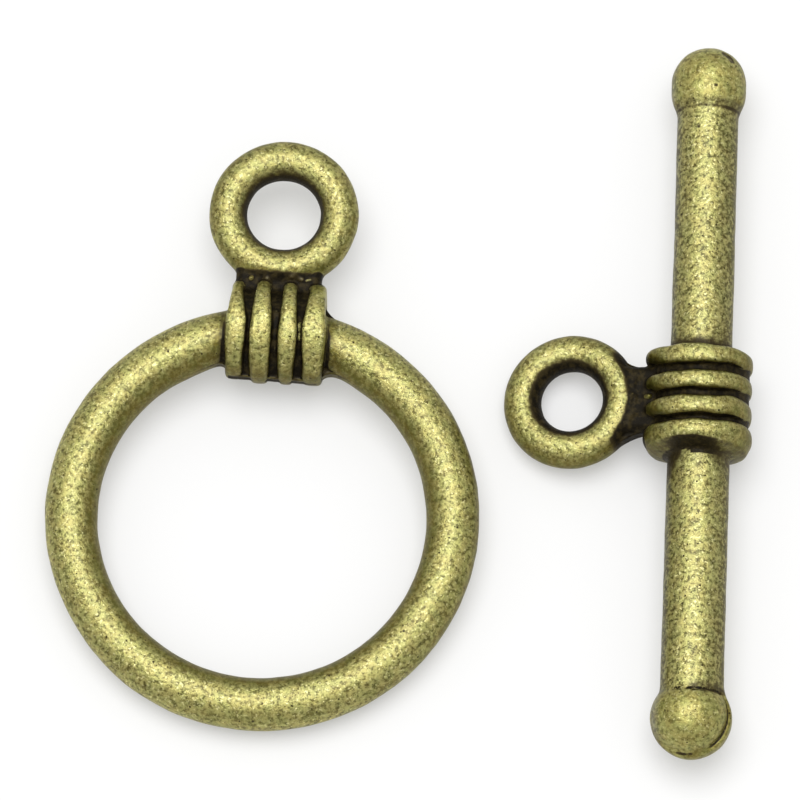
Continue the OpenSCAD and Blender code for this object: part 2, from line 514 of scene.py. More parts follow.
def bar_half(x, y, z):
    collar = smooth_union(bar_ribs(x, y, z), bar_collar_core(x, y, z), RIB_FILLET)
    collar = np.minimum(collar, bar_near_end(x, y, z))
    metal = smooth_union(bar_rod(x, y, z), far_ball(x, y, z), FAR_BALL_FILLET)
    metal = smooth_union(metal, np.maximum(near_ball_top(x, y, z), NEAR_TOP_FROM_Z - z), NEAR_TOP_FILLET)
    metal = np.maximum(metal, -bar_crease(x, y, z))
    ledge_fillet = NEAR_BOTTOM_FILLET - LEDGE_SHARPENS * ledge_share(x, y)
    metal = smooth_union(metal, near_ball_bottom(x, y, z), ledge_fillet)
    metal = np.maximum(metal, -bar_dents(x, y, z))
    metal = smooth_union(metal, collar, COLLAR_FILLET)
    metal = smooth_union(metal, bar_neck(x, y, z), NECK_FILLET)
    metal = smooth_union(metal, bar_eye(x, y, z), EYE_FILLET)
    metal = smooth_union(metal, np.minimum(bar_bits(x, y, z), bar_lumps(x, y, z)), BIT_FILLET)
    return np.minimum(metal, bar_flash(x, y, z))


# Meshing

# The least slope that is counted on, where parts meet
MIN_SLOPE = 0.2


def grid_line(low, high, *fine_spans):
    """Places along one axis: fine steps in the fine spans, coarse steps between them."""
    spans = [part for start, end in fine_spans for part in ((start, COARSE_STEP), (end, FINE_STEP))]
    places, at = [], low
    for end, step in [*spans, (high, COARSE_STEP)]:
        steps = max(int(np.ceil((end - at) / step)), 1)
        places.append(np.linspace(at, end, steps + 1)[:-1])
        at = end
    return np.concatenate([*places, [high]])


def crossings(field, lines, axis):
    """Where grid edges along one axis cross the surface: the edge, the point, and whether it leads in."""
    lower = np.take(field, np.arange(field.shape[axis] - 1), axis)
    upper = np.take(field, np.arange(1, field.shape[axis]), axis)
    at = np.argwhere((lower < 0) != (upper < 0))
    low, high = lower[tuple(at.T)], upper[tuple(at.T)]
    share = low / (low - high)
    point = np.stack([lines[a][at[:, a]] for a in range(3)], 1)
    point[:, axis] += share * (lines[axis][at[:, axis] + 1] - lines[axis][at[:, axis]])
    return at, point, low > 0


def cells_round(at, axis, cells):
    """Numbers of the four grid cells round each edge along one axis."""
    others = [a for a in range(3) if a != axis]
    numbers = []
    for step_a, step_b in ((-1, -1), (0, -1), (0, 0), (-1, 0)):
        cell = at.copy()
        cell[:, others[0]] += step_a
        cell[:, others[1]] += step_b
        numbers.append(np.ravel_multi_index(cell.T, cells))
    return np.stack(numbers, 1)


def surface_net(distance, lines):
    """Vertices and quads of the surface where distance is 0, one vertex in each grid cell that it crosses."""
    xs, ys, zs = lines
    field = distance(xs[:, None, None], ys[None, :, None], zs[None, None, :])
    cells = np.array(field.shape) - 1
    total = np.zeros((cells.prod(), 3))
    count = np.zeros(cells.prod())
    faces = []
    for axis in range(3):
        at, point, leads_in = crossings(field, lines, axis)
        quads = cells_round(at, axis, cells)
        for cell in quads.T:
            count += np.bincount(cell, minlength=len(count))
            for a in range(3):
                total[:, a] += np.bincount(cell, point[:, a], minlength=len(count))
        flip = leads_in != (axis == 1)
        quads[flip] = quads[flip][:, ::-1]
        faces.append(quads)
    used = np.flatnonzero(count)
    number = np.full(len(count), -1)
    number[used] = np.arange(len(used))
    return total[used] / count[used, None], number[np.concatenate(faces)]


def gradient(distance, points, step=0.01):
    """How the distance changes along each axis at each point."""
    slope = np.empty_like(points)
    for a in range(3):
        offset = np.zeros(3)
        offset[a] = step
        ahead, behind = points + offset, points - offset
        slope[:, a] = (distance(*ahead.T) - distance(*behind.T)) / (2 * step)
    return slope


def draw_onto(distance, points, rounds=3):
    """Moves points along the slope until they lie on the surface."""
    for _ in range(rounds):
        slope = gradient(distance, points)
        length = np.maximum((slope ** 2).sum(1), MIN_SLOPE)
        move = slope * (distance(*points.T) / length)[:, None]
        points = points - np.clip(move, -FINE_STEP / 2, FINE_STEP / 2)
    return points


def closed_in(distance, points, normals, reaches):
    """How closed in each point is, 0 to 1: near metal in front of it leaves less room than in the open."""
    closed = 0.0
    for reach in reaches:
        ahead = points + normals * reach
        closed = closed + np.clip(1 - distance(*ahead.T) / reach, 0, 1)
    return closed / len(reaches)


def soft_noise(points, size, seed):
    """Smooth noise from -1 to 1 at each point, with lumps about size across."""
    cells = 32
    table = np.random.default_rng(seed).uniform(-1, 1, (cells, cells, cells))
    base = np.floor(points / size).astype(int)
    share = smoothstep(0, 1, points / size - base)
    total = 0.0
    for corner in np.ndindex(2, 2, 2):
        weight = np.where(corner, share, 1 - share).prod(1)
        total = total + weight * table[tuple(((base + corner) % cells).T)]
    return total


# Places of the two halves, from the frame's eye mounts

def mount(name):
    found = next(m for m in frame["record"]["mounts"] if m["name"] == name)
    return Vector(found["pos_m"]) / MM, Vector(found["axis"]).normalized()


def ring_place():
    at, up = mount("ring_eye")
    turn = Matrix.Rotation(-atan2(-up.x, -up.y), 4, "Z") @ Matrix.Rotation(acos(up.z), 4, "X")
    return Matrix.Translation(at - turn.to_3x3() @ Vector((0, RING_EYE_Y, 0))) @ turn


def bar_place():
    at, up = mount("bar_eye")
    turn = Matrix.Rotation(-atan2(-up.x, up.z), 4, "Y")
    return Matrix.Translation(at - turn.to_3x3() @ Vector((-BAR_EYE_X, 0, 0))) @ turn


# Building a half

def rest_on_floor(mesh):
    """Flattens the few points that would dip below the floor, as the real casting is worn there."""
    places = np.empty(len(mesh.vertices) * 3, np.float32)
    mesh.vertices.foreach_get("co", places)
    places[2::3] = np.maximum(places[2::3], 0.0)
    mesh.vertices.foreach_set("co", places)


# How far ahead a point looks for metal, for what counts as a narrow cavity and as a wide recess
CAVITY_REACHES = (0.12, 0.25, 0.5)
RECESS_REACHES = (0.5, 0.9, 1.4)
# The casting's small lumps: size, height and seed of each layer
CAST_LUMPS = ((0.9, 0.012, 1), (0.35, 0.008, 2))


def casting(name, node, distance, grid, place, tarnish_and_light):
    """One half as a detailed mesh that replaces its solid, with its tarnish, painted light and painted shade
    as values at its points.
    """
    points, quads = surface_net(distance, [grid_line(*axis) for axis in grid])
    points = draw_onto(distance, points)
    slope = gradient(distance, points)
    normals = slope / np.maximum(np.linalg.norm(slope, axis=1), MIN_SLOPE)[:, None]
    masks = {"cavity": closed_in(distance, points, normals, CAVITY_REACHES),
             "recess": closed_in(distance, points, normals, RECESS_REACHES),
             **tarnish_and_light(points)}
    lump = sum(height * soft_noise(points, size, seed) for size, height, seed in CAST_LUMPS)
    points = points + normals * lump[:, None]
    mesh = bpy.data.meshes.new(name)
    mesh.from_pydata(points.tolist(), [], quads.tolist())
    for key, values in masks.items():
        mesh.attributes.new(key, "FLOAT", "POINT").data.foreach_set("value", values.astype(np.float32))
    mesh.transform(Matrix.Scale(MM, 4) @ place)
    rest_on_floor(mesh)
    mesh.polygons.foreach_set("use_smooth", np.ones(len(mesh.polygons), bool))
    mesh.update()
    piece = bpy.data.objects.new(name, mesh)
    bpy.context.scene.collection.objects.link(piece)
    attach(piece, "root")
    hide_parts(node)
    return piece


# Tarnish, with some painted light and painted shade, as a value at each point: 0 for none, 1 for all.
# Distances along a collar are from its middle

# The bar half's eye and neck lie left of this, and its balls past this along it
BAR_EYE_TO_X = -2.2
BALLS_FROM_Y = 11.5
# How far from its middle the bar's collar ends
BAR_COLLAR_ENDS = 1.9
# How far past its own surface a part still counts: a bit or lump, a web, a groove's floor, and the bar's neck
BIT_REACH = 0.05
WEB_REACH = 0.06
GROOVE_REACH = 0.1
BAR_NECK_REACH = 0.12


def near_surface(part, whole, points, reach):
    """1 where the surface is that of one part, 0 where it is some other part's."""
    return 1 - smoothstep(0.0, reach, part(*points.T) - whole(*points.T))


def band(value, at, half_w):
    """1 at one value, falling smoothly to 0 at half_w to either side."""
    return 1 - smoothstep(0.0, half_w, np.abs(value - at))


# How fine the grain is, where the rod's is 0 and the balls' is 1
RING_SMOOTH = 0.4
RING_NEAR_SMOOTH = 0.6
BAR_COLLAR_SMOOTH = 0.45
BAR_EYE_SMOOTH = 0.4
# Where it changes: towards the ring's near end, round where the balls begin, and from the rod up to the
# collar, as far along it as this
RING_NEAR_END = (-6.9, -7.5)
BALLS_BLEND = 0.2
COLLAR_ABOVE_ROD = (0.1, 0.3)
COLLAR_SMOOTH_TO = 2.3


def ring_smooth(points):
    """How fine the grain is: finest on the ring's near end."""
    near_end = smoothstep(*RING_NEAR_END, points[:, 1])
    return np.maximum(RING_SMOOTH, RING_NEAR_SMOOTH * near_end)


def bar_smooth(points):
    """How fine the grain is: 0 on the rough rod, 1 on the balls, between them on the eye and collar."""
    x, y, z = points.T
    balls = smoothstep(BALLS_FROM_Y - BALLS_BLEND, BALLS_FROM_Y + BALLS_BLEND, np.abs(y))
    low, high = COLLAR_ABOVE_ROD
    collar = smoothstep(BAR_R + low, BAR_R + high, np.hypot(x, z))
    collar = collar * (np.abs(y - BAR_COLLAR_Y) < COLLAR_SMOOTH_TO)
    return np.maximum.reduce([balls, BAR_COLLAR_SMOOTH * collar, BAR_EYE_SMOOTH * (x < BAR_EYE_TO_X)])


# The painted sheen on the bar's left-hand flank, a painted reflection of the pale surroundings: the shares of
# the radius that it begins and is full at, and how far above the rod it reaches
SHEEN_SHARES = (0.66, 0.92)
SHEEN_ABOVE = 0.05


def ring_film(points):
    """The greyish film that has dulled the lumps in the neck."""
    return near_surface(ring_lumps, ring_half, points, BIT_REACH)


def bar_flank_sheen(points):
    """A painted greyish sheen on the bar's left-hand flank: a painted reflection of the pale surroundings."""
    x, y, z = points.T
    radius = np.where(np.abs(y) > BALLS_FROM_Y, NEAR_TOP_R, BAR_R)
    flank = smoothstep(*SHEEN_SHARES, -x / radius) * (np.hypot(x, z) < radius + SHEEN_ABOVE)
    return flank * (np.abs(y - BAR_COLLAR_Y) > BAR_COLLAR_ENDS)


# Dirt in the eyes' holes: over which width it grows, and for each hole the radius that it begins at and its
# share
HOLE_DIRT_W = 0.42
RING_HOLE_DIRT_R = 1.84
RING_HOLE_DIRT = 0.68
BAR_HOLE_DIRT_R = 1.74
BAR_HOLE_DIRT = 0.85


def hole_grime(from_middle, edge_r):
    """Dirt in an eye's hole: none at edge_r from its middle, and growing inwards."""
    return np.clip((edge_r - from_middle) / HOLE_DIRT_W, 0, 1)


# Dirt on the ring's collar: how far along it the grooves go, and at its ends the dirt's share, place and
# half-width, and between which distances from its axis it fades
RING_GROOVES_TO = 1.75
RING_END_DIRT = 0.45
RING_END_AT = 1.98
RING_END_HALF_W = 0.22
RING_END_FADES = (1.5, 1.8)
# The ribs' ends beside the neck: the dirt's share, where it grows across the collar, and where it stops
RIB_ENDS_DIRT = 0.5
RIB_ENDS_GROW = (1.4, 1.85)
RIB_ENDS_TO = 2.2


def ring_collar_grime(points):
    """Dirt in the collar's grooves, on its two ends, and on its ribs' ends beside the neck."""
    x, y, z = points.T
    side = y - RING_COLLAR_Y
    groove = near_surface(ring_collar_core, ring_half, points, GROOVE_REACH) * (np.abs(x) < RING_GROOVES_TO)
    inside_ribs = 1 - smoothstep(*RING_END_FADES, np.hypot(side, z))
    end = RING_END_DIRT * band(np.abs(x), RING_END_AT, RING_END_HALF_W) * inside_ribs * (y > RING_WEB_FROM_Y)
    rib_ends = RIB_ENDS_DIRT * smoothstep(*RIB_ENDS_GROW, side) * (side < RIB_ENDS_TO)
    return np.maximum.reduce([groove, end, rib_ends])


# Dirt under the ring's eye: its place along the half, how it bends round the eye, over which width it fades,
# and half its width
UNDER_EYE_Y = 9.12
UNDER_EYE_BEND = 0.03
UNDER_EYE_FADES = 0.4
UNDER_EYE_HALF_W = 2.6
# Dirt on the ring's webs: its share, how much less inside the ring, and where that begins
RING_WEB_DIRT = 0.75
RING_WEB_INSIDE_LESS = 0.25
RING_WEB_INSIDE_Y = 6.0
# How much of the dirt the film hides
FILM_HIDES = 0.6


def ring_grime(points):
    """All the dirt of the ring half: in the hole, under the eye, in the neck, on the webs and the collar."""
    x, y = points[:, 0], points[:, 1]
    hole = RING_HOLE_DIRT * hole_grime(np.hypot(x, y - RING_EYE_Y - RING_EYE_HOLE[1]), RING_HOLE_DIRT_R)
    under_eye = 1 - smoothstep(0.0, UNDER_EYE_FADES, y - UNDER_EYE_Y - UNDER_EYE_BEND * x ** 2)
    under_eye = under_eye * (y > RING_NECK_FROM_Y) * (np.abs(x) < UNDER_EYE_HALF_W)
    neck = near_surface(ring_neck, ring_half, points, WEB_REACH)
    flash = RING_WEB_DIRT - RING_WEB_INSIDE_LESS * (y < RING_WEB_INSIDE_Y)
    flash = flash * near_surface(ring_flash, ring_half, points, WEB_REACH)
    grime_and_shade = np.maximum.reduce([hole, under_eye, neck, flash, ring_collar_grime(points)])
    return grime_and_shade * (1 - FILM_HIDES * ring_film(points) * (y > RING_NECK_FROM_Y))


# Wear of the ring, with painted light and shade: what facing outwards adds on top, how much its outside has,
# how much painted shade takes off that on the right, and over how many degrees. Then how far from the eye's
# middle its outside counts from
OUTWARDS_WEAR_AND_LIGHT = 0.22
OUTSIDE_WEAR_AND_LIGHT = 1.05
RIGHT_PAINTED_SHADE = 0.75
RIGHT_SHADE_DEGREES = 45
RING_EYE_OUTSIDE = 2.0


def ring_wear_and_light(points):
    """Rubbed bright on top and below; lighter outside and darker inside the ring, partly wear and partly
    painted light from the left; painted shade on its right-hand outside.
    """
    x, y, z = points.T
    up = np.abs(z) / RING_WIRE_R
    out = (np.hypot(x, y) - RING_R) / RING_WIRE_R
    # Painted shade on the ring's right-hand outside, where less light falls
    right_shade = RIGHT_PAINTED_SHADE * fade(np.arctan2(y, x), radians(RIGHT_SHADE_DEGREES))
    tube = np.maximum(up + OUTWARDS_WEAR_AND_LIGHT * out, out * (OUTSIDE_WEAR_AND_LIGHT - right_shade))
    neck_and_eye = np.maximum(np.abs(z) / EYE_WIRE_R, np.hypot(x, y - RING_EYE_Y) - RING_EYE_OUTSIDE)
    return np.where(y > RING_NECK_FROM_Y, neck_and_eye, tube)


# Dirt on the bar eye's flank: between which distances from its middle it grows, how squarely the flank has to
# face the collar, as a share, and how far right it goes
EYE_FLANK = (2.0, 2.4)
FACES_COLLAR = (0.5, 0.85)
EYE_FLANK_TO_X = -1.9


def bar_eye_grime(points):
    """Dirt in the eye's hole, and on the eye's flank towards the collar."""
    x, y = points[:, 0], points[:, 1]
    eye_x = x + BAR_EYE_X
    from_middle = np.hypot(eye_x, y - BAR_EYE_Y)
    hole = BAR_HOLE_DIRT * hole_grime(from_middle, BAR_HOLE_DIRT_R)
    towards_collar = smoothstep(*FACES_COLLAR, eye_x / np.maximum(from_middle, 0.1)) * (x < EYE_FLANK_TO_X)
    return np.maximum(hole, smoothstep(*EYE_FLANK, from_middle) * towards_collar)


# Dirt in the bar collar's grooves: how far along it they go, how much less there is on the right, and where
BAR_GROOVES_TO = 1.7
RIGHT_DIRT_LESS = 0.3
RIGHT_DIRT_FADES = (1.3, 1.8)
# Darkening on the collar's near end: how close to the cone it lies, how far along it goes, over which depths
# under the rim it grows, its share, how much less at the sides, how far out those are, and from which middle
FACE_NEAR = (-0.12, -0.02)
FACE_TO = -2.2
FACE_UNDER_RIM = (-0.02, 0.15)
FACE_DARKENING = 0.7
FACE_SIDES_LESS = 0.28
FACE_SIDES = (0.5, 1.2)
FACE_MIDDLE = 0.1


def bar_collar_grime(points):
    """Dirt in the collar's grooves, less on the right, and a darker crescent on the collar's near end."""
    x, y, z = points.T
    side, along = x - BAR_COLLAR_X, y - BAR_COLLAR_Y
    depth = np.hypot(side, z)
    groove = near_surface(bar_collar_core, bar_half, points, GROOVE_REACH) * (np.abs(along) < BAR_GROOVES_TO)
    groove = groove * (1 - RIGHT_DIRT_LESS * smoothstep(*RIGHT_DIRT_FADES, side))
    face = smoothstep(*FACE_NEAR, bar_near_face(side, along, z)) * (along > FACE_TO) * (depth > BAR_R)
    face = face * smoothstep(*FACE_UNDER_RIM, BAR_COLLAR_R - depth)
    face = face * (FACE_DARKENING - FACE_SIDES_LESS * smoothstep(*FACE_SIDES, np.abs(side - FACE_MIDDLE)))
    return np.maximum(groove, face)


# Painted shade and dirt on the rod at the collar's near end: how far along it begins, and over which stretch
# its right begins
NEAR_DIRT_AND_SHADE_AT = -1.97
NEAR_RIGHT = (-0.1, 0.3)
# The lit stretch on top, kept free of the painted shade where the highlight falls: half its width at the
# collar, what the right adds, how fast and how far it widens, and how wide its edge is
LIT_HALF_W = 0.05
LIT_RIGHT = 0.2
LIT_WIDENS = 0.4
LIT_WIDENS_TO = 1.5
LIT_EDGE = 0.5
# The sides' painted shade: its share and how much less on the right, how far it reaches, and how far under
# the collar
NEAR_SIDES_SHADE = 0.65
NEAR_RIGHT_LESS = 0.15
NEAR_SIDES_REACH = 1.6
UNDER_COLLAR = -0.3
# The thin line of dirt all round: its share and half-width
NEAR_LINE_DIRT = 0.3
NEAR_LINE_HALF_W = 0.12


def rod_near_dirt_and_shade(side, along):
    """Painted shade on the rod's sides at the collar's near end, leaving a lit stretch on top, and dirt in a
    thin line all round.
    """
    beyond = NEAR_DIRT_AND_SHADE_AT - along
    right = smoothstep(*NEAR_RIGHT, side)
    lit_half = LIT_HALF_W + LIT_RIGHT * right + LIT_WIDENS * np.clip(beyond, 0, LIT_WIDENS_TO)
    # Painted shade at the rod's sides, leaving the lit stretch on top clear
    sides = (NEAR_SIDES_SHADE - NEAR_RIGHT_LESS * right) * fade(beyond, NEAR_SIDES_REACH)
    sides = sides * (beyond > UNDER_COLLAR) * smoothstep(lit_half, lit_half + LIT_EDGE, np.abs(side))
    return np.maximum(sides, NEAR_LINE_DIRT * fade(beyond, NEAR_LINE_HALF_W))


# Darkening of the rod at the collar's far end: how far along it begins, its share, reach and start close to
# the collar, and at the rod's sides its share and reach, and how far out those are
FAR_DARK_AT = 1.8
FAR_CLOSE_DARK = 0.75
FAR_CLOSE_REACH = 0.72
FAR_CLOSE_FROM = -0.1
FAR_SIDES_DARK = 0.38
FAR_SIDES_REACH = 2.2
FAR_SIDES = (0.6, 0.95)


def rod_far_darkening(side, along):
    """The rod made darker at the collar's far end: close to it, and further along at the rod's sides."""
    beyond = along - FAR_DARK_AT
    close = FAR_CLOSE_DARK * fade(beyond, FAR_CLOSE_REACH) * (beyond > FAR_CLOSE_FROM)
    sides = FAR_SIDES_DARK * fade(beyond, FAR_SIDES_REACH) * smoothstep(*FAR_SIDES, np.abs(side))
    return np.maximum(close, sides * (beyond > 0))


# Dirt near the near ball's crease and step, a darker band above that crease, and painted shade under the far
# ball. The rod ends between these radii
ROD_TO_BALL = (1.2, 1.36)
# In the crease, and above it: share, place past the crease, half-width, and where along X it grows
CREASE_DIRT = (0.6, 0.0, 0.06, (-0.9, 0.2))
ABOVE_CREASE_DARKENING = (0.48, 0.16, 0.48, (-0.9, 0.4))
# In the step: share, half-width, and the place along the bar that it ends at
LEDGE_DIRT = 0.85
LEDGE_DIRT_HALF_W = 0.05
LEDGE_DIRT_TO_Y = -11.4
# Beside the far ball, a dark line where it meets the rod and painted shade under the ball: share, place along
# the bar and half-width of the line, of a softer band of painted shade, and of what the right adds to that
# shade, with where along X that grows
FAR_BALL_LINE = (0.5, 11.15, 0.12)
FAR_BALL_SOFT_SHADE = (0.42, 11.33, 0.24)
FAR_BALL_RIGHT_SHADE = (0.1, 11.08, 0.2)
FAR_BALL_RIGHT_SHADE_X = (0.3, 1.0)


def across_rod(y, share, at, half_w):
    """A darker band across the rod, darkest where it is placed."""
    return share * fade(y - at, half_w)


def along_crease(x, y, on_rod, share, at, half_w, grows):
    """A band of dirt along the near ball's crease, growing from left to right."""
    return share * band(from_crease(x, y), at, half_w) * on_rod * smoothstep(*grows, x)


def ball_grime_and_shade(points):
    """Dirt in the near ball's crease and step, a darker band above the crease, and a dark line and painted
    shade where the far ball meets the rod.
    """
    x, y, z = points.T
    on_rod = 1 - smoothstep(*ROD_TO_BALL, np.hypot(x, z))
    creases = [along_crease(x, y, on_rod, *darkening) for darkening in (CREASE_DIRT, ABOVE_CREASE_DARKENING)]
    # Painted shade under the far ball, over a dark line where it meets the rod
    far = np.maximum(across_rod(y, *FAR_BALL_LINE), across_rod(y, *FAR_BALL_SOFT_SHADE))
    far = far + smoothstep(*FAR_BALL_RIGHT_SHADE_X, x) * across_rod(y, *FAR_BALL_RIGHT_SHADE)
    step = near_ball_top(x, y, z) - near_ball_bottom(x, y, z)
    ledge = LEDGE_DIRT * band(step, 0.0, LEDGE_DIRT_HALF_W) * ledge_share(x, y) * (y < LEDGE_DIRT_TO_Y)
    return np.maximum.reduce([*creases, far, ledge])


# The dirt's shares on the bar's webs and in its dents, over which width a dent's fades, and between which
# distances from the collar's axis the rod's dirt and painted shade fade
BAR_WEB_DIRT = 0.8
DENT_DIRT = 0.55
DENT_DIRT_FADES = 0.06
ROD_DIRT_ENDS = (1.25, 1.4)


def bar_grime_and_shade(points):
    """All the dirt of the bar half, with painted shade on the rod by the collar and under the far ball."""
    x, y, z = points.T
    side, along = x - BAR_COLLAR_X, y - BAR_COLLAR_Y
    rod = np.maximum(rod_near_dirt_and_shade(side, along), rod_far_darkening(side, along))
    rod = rod * (1 - smoothstep(*ROD_DIRT_ENDS, np.hypot(side, z)))
    neck = near_surface(bar_neck, bar_half, points, BAR_NECK_REACH)
    flash = BAR_WEB_DIRT * near_surface(bar_flash, bar_half, points, WEB_REACH)
    dents = DENT_DIRT * (1 - smoothstep(0.0, DENT_DIRT_FADES, bar_dents(x, y, z)))
    parts = [part(points) for part in (bar_eye_grime, bar_collar_grime, ball_grime_and_shade)]
    return np.maximum.reduce([*parts, rod, neck, flash, dents])


# Wear of the bar: what each millimetre to the right adds as painted light, and on the balls its least and
# what height adds
RIGHT_PAINTED_LIGHT = 0.1
BALL_WEAR = 0.65
BALL_WEAR_UP = 0.32


def bar_wear_and_light(points):
    """Rubbed bright on top and below and all over the balls, and a little brighter on the right as painted
    light.
    """
    x, y, z = points.T
    on_collar = np.abs(y - BAR_COLLAR_Y) < BAR_COLLAR_ENDS
    thick = np.where(x < BAR_EYE_TO_X, EYE_WIRE_R, np.where(on_collar, BAR_COLLAR_R, BAR_R))
    # What the right adds is painted light
    rubbed_and_lit = np.abs(z) / thick + RIGHT_PAINTED_LIGHT * np.clip(x, 0, 1)
    return np.where(np.abs(y) > BALLS_FROM_Y, BALL_WEAR + BALL_WEAR_UP * np.abs(z), rubbed_and_lit)


def ring_tarnish_and_light(points):
    return {"grime_and_shade": ring_grime(points), "wear_and_light": ring_wear_and_light(points), "film_and_sheen": ring_film(points),
            "smooth": ring_smooth(points), "bare": near_surface(ring_bits, ring_half, points, BIT_REACH)}


def bar_tarnish_and_light(points):
    return {"grime_and_shade": bar_grime_and_shade(points), "wear_and_light": bar_wear_and_light(points), "film_and_sheen": bar_flank_sheen(points),
            "smooth": bar_smooth(points), "bare": near_surface(bar_bits, bar_half, points, BIT_REACH)}


# Material

# Numbers of a Mix node's colour sockets, whose names its other sockets share
MIX_FACTOR = 0
MIX_A = 6
MIX_B = 7
MIX_RESULT = 2


class Nodes:
    """Adds nodes to a material and joins them: an input is a number, a colour or another node's output."""

    def __init__(self, material):
        material.use_nodes = True
        self.tree = material.node_tree
        self.tree.nodes.clear()

    def add(self, kind, inputs=(), out=0, **settings):
        made = self.tree.nodes.new("ShaderNode" + kind)
        for key, value in settings.items():
            setattr(made, key, value)
        for key, value in dict(inputs).items():
            if isinstance(value, bpy.types.NodeSocket):
                self.tree.links.new(value, made.inputs[key])
            else:
                made.inputs[key].default_value = value
        return made.outputs[out] if made.outputs else made

    def math(self, operation, *values, clamp=False):
        return self.add("Math", dict(enumerate(values)), operation=operation, use_clamp=clamp)

    def ramp(self, value, low, high, to_low=0.0, to_high=1.0):
        return self.add("MapRange", {"Value": value, "From Min": low, "From Max": high, "To Min": to_low,
                                     "To Max": to_high}, interpolation_type="SMOOTHSTEP")

    def mix(self, factor, a, b, blend="MIX"):
        made = self.tree.nodes.new("ShaderNodeMix")
        made.data_type = "RGBA"
        made.blend_type = blend
        for key, value in ((MIX_FACTOR, factor), (MIX_A, a), (MIX_B, b)):
            if isinstance(value, bpy.types.NodeSocket):
                self.tree.links.new(value, made.inputs[key])
            else:
                made.inputs[key].default_value = value
        return made.outputs[MIX_RESULT]

    def attribute(self, name):
        return self.add("Attribute", attribute_name=name, out="Fac")

    def centred(self, value, share):
        """A value that lies round 0.5 as a push up or down."""
        return self.math("MULTIPLY", self.math("SUBTRACT", value, 0.5), share)

    def noise(self, where, per_mm, detail=2.0, rough=0.5):
        scale = per_mm / MM
        return self.add("TexNoise", {"Vector": where, "Scale": scale, "Detail": detail, "Roughness": rough})


CROWN_COLOUR = (0.335, 0.31, 0.075, 1)
SIDE_COLOUR = (0.156, 0.133, 0.018, 1)
FILM_AND_SHEEN_COLOUR = (0.16, 0.15, 0.135, 1)
WARM_TINT = (1.06, 0.97, 0.86, 1)
GREEN_TINT = (0.95, 1.02, 0.94, 1)
BRIGHT_COLOUR = (0.85, 0.81, 0.36, 1)
PAINTED_GLINT_COLOUR = (1.0, 0.94, 0.45, 1)
PIT_COLOUR = (0.032, 0.025, 0.004, 1)
BROWN_COLOUR = (0.06, 0.044, 0.014, 1)
GRIME_AND_SHADE_COLOUR = (0.007, 0.005, 0.002, 1)
BLACK_BROWN_COLOUR = (0.0335, 0.0245, 0.008, 1)
GRAZING_TINT = (0.5, 0.49, 0.44, 1)
# Height of the grain's bumps
GRAIN_HEIGHT_MM = 0.052
# How many lumps of each noise there are to a millimetre, and how many pits
BLOTCHES_PER_MM = 1.1
TONES_PER_MM = 2.3
SPECKLES_PER_MM = 4.0
GRAINS_PER_MM = 6.5
GLINTS_PER_MM = 8.5
PITS_PER_MM = 3.2
FINER_PITS_PER_MM = 13.0


def plating(n, where, grain, worn_and_lit, rough, smooth):
    """The metal without its dirt: olive, yellow where it is worn and where light is painted, grained with
    pits, and with painted glints on the crests.
    """
    tone = n.noise(where, TONES_PER_MM, 2.0, 0.5)
    glint = n.noise(where, GLINTS_PER_MM, 1.5, 0.6)
    metal = n.mix(worn_and_lit, SIDE_COLOUR, CROWN_COLOUR)
    # The greyish film: a film on the ring's lumps, and painted sheen on the bar's left-hand flank
    metal = n.mix(n.math("MULTIPLY", n.attribute("film_and_sheen"), 0.7), metal, FILM_AND_SHEEN_COLOUR)
    metal = n.mix(1.0, metal, n.mix(n.ramp(tone, 0.35, 0.65), GREEN_TINT, WARM_TINT), blend="MULTIPLY")
    pitted = n.mix(n.ramp(worn_and_lit, 0, 1, 0.6, 0.82), metal, PIT_COLOUR)
    sparkle = n.mix(n.ramp(worn_and_lit, 0, 1, 0.38, 0.3), metal, BRIGHT_COLOUR)
    bright_share = n.math("ADD", grain, n.centred(worn_and_lit, 0.1))
    grained = n.mix(n.ramp(bright_share, 0.37, 0.63), pitted, sparkle)
    # Painted glints: bright specks painted onto the worn crests, where the highlight falls
    painted_glints = n.math("MULTIPLY", n.ramp(glint, 0.3, 0.42, 0.6, 0.0), n.ramp(worn_and_lit, 0.3, 0.9))
    grained = n.mix(painted_glints, grained, PAINTED_GLINT_COLOUR)
    flank_share = n.ramp(smooth, 0, 0.3, 1.0, 0.42)
    grain_share = n.math("MULTIPLY", rough, n.ramp(worn_and_lit, 0.1, 0.8, flank_share, 1.0))
    return n.mix(grain_share, metal, grained)


def pits(n, where, speckle):
    """Small dark pits, in some places only."""
    spot = n.add("TexVoronoi", {"Vector": where, "Scale": PITS_PER_MM / MM})
    spot = n.math("ADD", spot, n.centred(speckle, 0.3))
    pit = n.ramp(spot, 0.10, 0.2, 1.0, 0.0)
    pit = n.math("MULTIPLY", pit, n.ramp(speckle, 0.5, 0.56))
    finer_pit = n.ramp(n.noise(where, FINER_PITS_PER_MM, 1.0), 0.70, 0.76)
    return n.math("MAXIMUM", pit, finer_pit)


def darkening(n, where, speckle):
    """How much dirt and painted shade cover: all in cavities, grime with its painted shade, and pits, little
    on bare bits of metal.
    """
    deep = n.ramp(n.math("ADD", n.attribute("cavity"), n.centred(speckle, 0.25)), 0.25, 0.55)
    caked_and_shaded = n.ramp(n.math("ADD", n.attribute("grime_and_shade"), n.centred(speckle, 0.5)), 0.15, 0.85)
    dirt_and_shade = n.math("MAXIMUM", n.math("MAXIMUM", deep, caked_and_shaded), pits(n, where, speckle), clamp=True)
    return n.math("MULTIPLY", dirt_and_shade, n.ramp(n.attribute("bare"), 0.2, 0.9, 1.0, 0.25))


